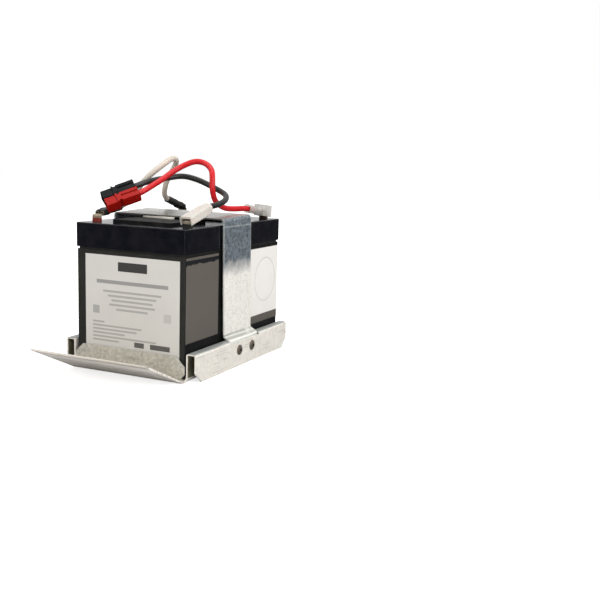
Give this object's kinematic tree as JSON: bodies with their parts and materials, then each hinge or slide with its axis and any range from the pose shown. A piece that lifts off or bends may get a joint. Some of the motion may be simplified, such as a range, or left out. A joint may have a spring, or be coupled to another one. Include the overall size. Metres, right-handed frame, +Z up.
{
  "type": "ups battery cartridge",
  "caption": "Sealed batteries back to back on a folded steel tray with channel rails and a pull lip, held by a riveted steel hoop and wired to a power connector.",
  "frame": {"origin": "centre of the tray floor's underside, below the seam between the batteries", "axes": "+X to the right when the pull lip faces the viewer, +Y to the rear away from the pull lip, +Z up"},
  "size_m": [0.1106, 0.1885, 0.1504],
  "materials": {
    "galvanised_steel": "satin zinc-coated sheet with faint spangle",
    "rivet_steel": "dull grey",
    "container_black": "fine-textured black",
    "lid_black": "semi-gloss black",
    "label_white": "satin, bare",
    "label_grey": "matte, bare",
    "seal_red": "semi-gloss",
    "seal_black": "semi-gloss",
    "tinned_metal": "tin-plated, satin",
    "insulator_white": "translucent off-white",
    "cover_clear": "clear, slightly milky",
    "sleeve_black": "satin",
    "lead_red": "semi-gloss",
    "lead_black": "semi-gloss",
    "lead_white": "semi-gloss",
    "housing_red": "satin",
    "housing_black": "satin",
    "contact_silver": "silver-plated"
  },
  "bodies": {
    "root": {"rail_tray": "galvanised_steel", "cradle_plate": "galvanised_steel", "hoop_strap": "galvanised_steel", "rivets_left": "rivet_steel", "rivets_right": "rivet_steel", "front_container": "container_black", "front_lid": "lid_black", "front_vent_cover": "lid_black", "rear_container": "container_black", "rear_lid": "lid_black", "rear_vent_cover": "lid_black", "front_label": "label_white", "rear_side_label": "label_white", "front_side_panel": "label_grey", "rear_side_panel": "label_grey", "front_positive_seal": "seal_red", "front_positive_tab": "tinned_metal", "front_positive_receptacle": "tinned_metal", "front_negative_seal": "seal_black", "front_negative_tab": "tinned_metal", "front_negative_receptacle": "tinned_metal", "rear_positive_seal": "seal_red", "rear_positive_tab": "tinned_metal", "rear_positive_receptacle": "tinned_metal", "rear_negative_seal": "seal_black", "rear_negative_tab": "tinned_metal", "rear_negative_receptacle": "tinned_metal", "front_negative_insulator": "insulator_white", "rear_positive_cover": "cover_clear", "front_positive_boot": "sleeve_black", "rear_negative_boot": "sleeve_black", "red_lead": "lead_red", "black_lead": "lead_black", "white_jumper": "lead_white", "red_housing": "housing_red", "black_housing": "housing_black", "red_contact": "contact_silver", "red_contact_spring": "contact_silver", "black_contact": "contact_silver", "black_contact_spring": "contact_silver", "housing_roll_pin": "rivet_steel"}
  },
  "joints": []
}
